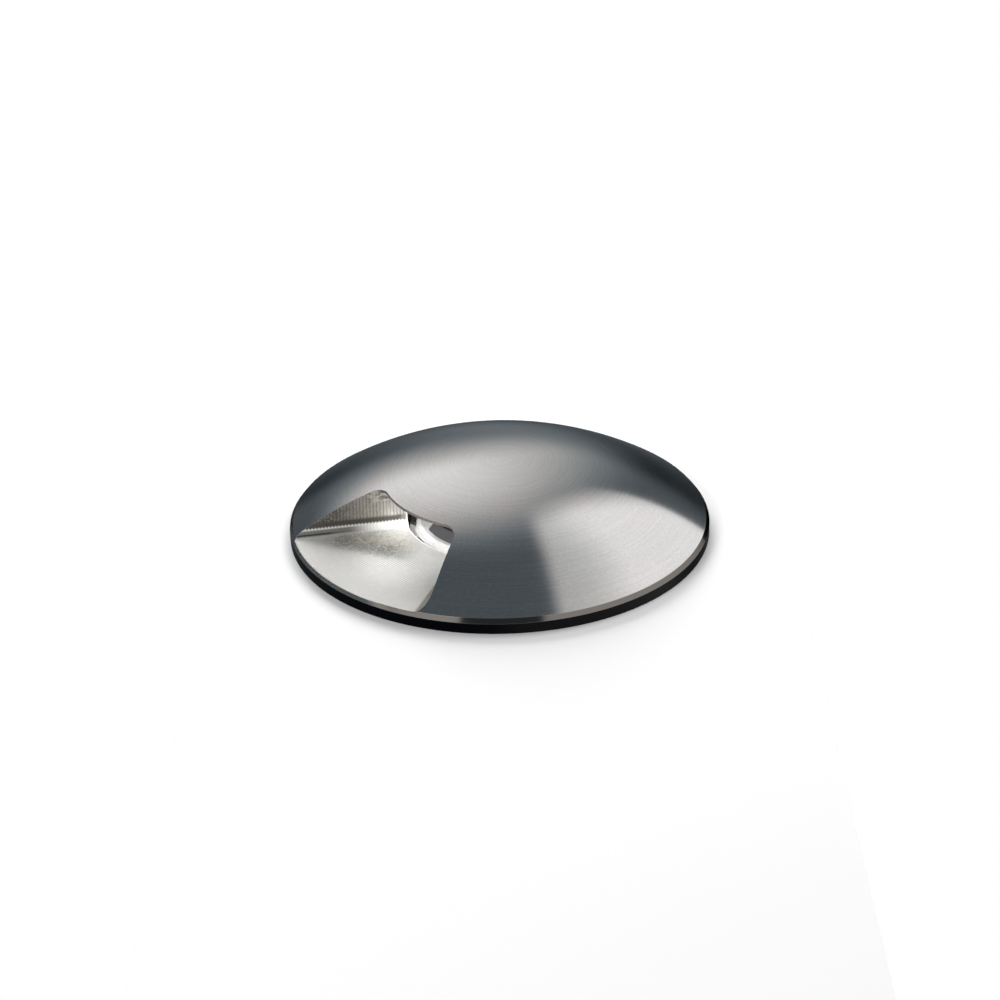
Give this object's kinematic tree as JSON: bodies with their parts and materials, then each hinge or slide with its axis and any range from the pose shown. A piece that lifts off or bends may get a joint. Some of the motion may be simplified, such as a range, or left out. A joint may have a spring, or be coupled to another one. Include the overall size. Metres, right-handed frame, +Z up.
{
  "type": "in-ground well light",
  "caption": "Round in-ground well light: a domed steel cover with a milled side outlet for low light, on a lamp housing that lifts out of a ground sleeve and turns to aim.",
  "frame": {"origin": "on the light's axis, at the level of the paving and of the underside of the cover's rim", "axes": "+Z up along the axis of the cover and the sleeve; the light outlet opens towards -X and -Y"},
  "size_m": [0.1, 0.1, 0.1245],
  "materials": {
    "cover_steel": "fine turned satin",
    "milled_steel": "bright milled",
    "window_glass": "dark satin glass",
    "black_rubber": "matte",
    "clear_silicone": "soft matte",
    "housing_metal": "bead-blasted",
    "screw_steel": "plain",
    "spring_steel": "cold-rolled",
    "thermal_pad": "soft matte",
    "lamp_board": "white coated",
    "emitter": "clear dome over yellow",
    "lens_clear": "polished clear",
    "black_plastic": "fine texture",
    "grey_plastic": "fine texture",
    "sleeve_plastic": "moulded",
    "white_plastic": "low-friction, moulded",
    "circuit_board": "solder resist",
    "capacitor_sleeve": "shrink sleeve",
    "ferrite": "matte",
    "terminal_plastic": "moulded",
    "lead_insulation": "soft gloss",
    "nickel_brass": "nickel plated"
  },
  "bodies": {
    "sleeve": {"installation_sleeve": "sleeve_plastic", "cable_grommets": "black_rubber", "sleeve_base": "sleeve_plastic"},
    "aiming_ring": {"aiming_ring": "white_plastic", "aiming_ring_seal": "black_rubber"},
    "luminaire": {"dome_cover": "cover_steel", "window_frame": "milled_steel", "window_glass": "window_glass", "glass_seal": "clear_silicone", "cover_gasket": "black_rubber", "cover_screws": "screw_steel", "housing": "housing_metal", "thermal_pad": "thermal_pad", "lamp_board": "lamp_board", "lamp_board_screws": "screw_steel", "led_emitter": "emitter", "side_throw_lens": "lens_clear", "lens_holder": "black_plastic", "lamp_leads": "lead_insulation", "driver_board": "circuit_board", "driver_spacers": "nickel_brass", "driver_screws": "screw_steel", "driver_capacitor": "capacitor_sleeve", "driver_inductor": "ferrite", "terminal_block": "terminal_plastic", "bottom_cap": "housing_metal", "cap_seal": "black_rubber", "cap_screws": "screw_steel", "vent_plug": "grey_plastic", "gland_body": "nickel_brass", "gland_washer": "black_rubber", "gland_locknut": "nickel_brass", "gland_seal": "black_rubber", "gland_nut": "nickel_brass", "retention_springs": "spring_steel", "spring_screws": "screw_steel"}
  },
  "joints": [
    {"name": "aim_turn", "type": "hinge", "parent": "sleeve", "child": "aiming_ring", "pos_m": [0, 0, -0.006], "axis": [0, 0, 1], "continuous": true},
    {"name": "lift_out", "type": "slide", "parent": "aiming_ring", "child": "luminaire", "axis": [0, 0, 1], "range_m": [0, 0.09]}
  ]
}
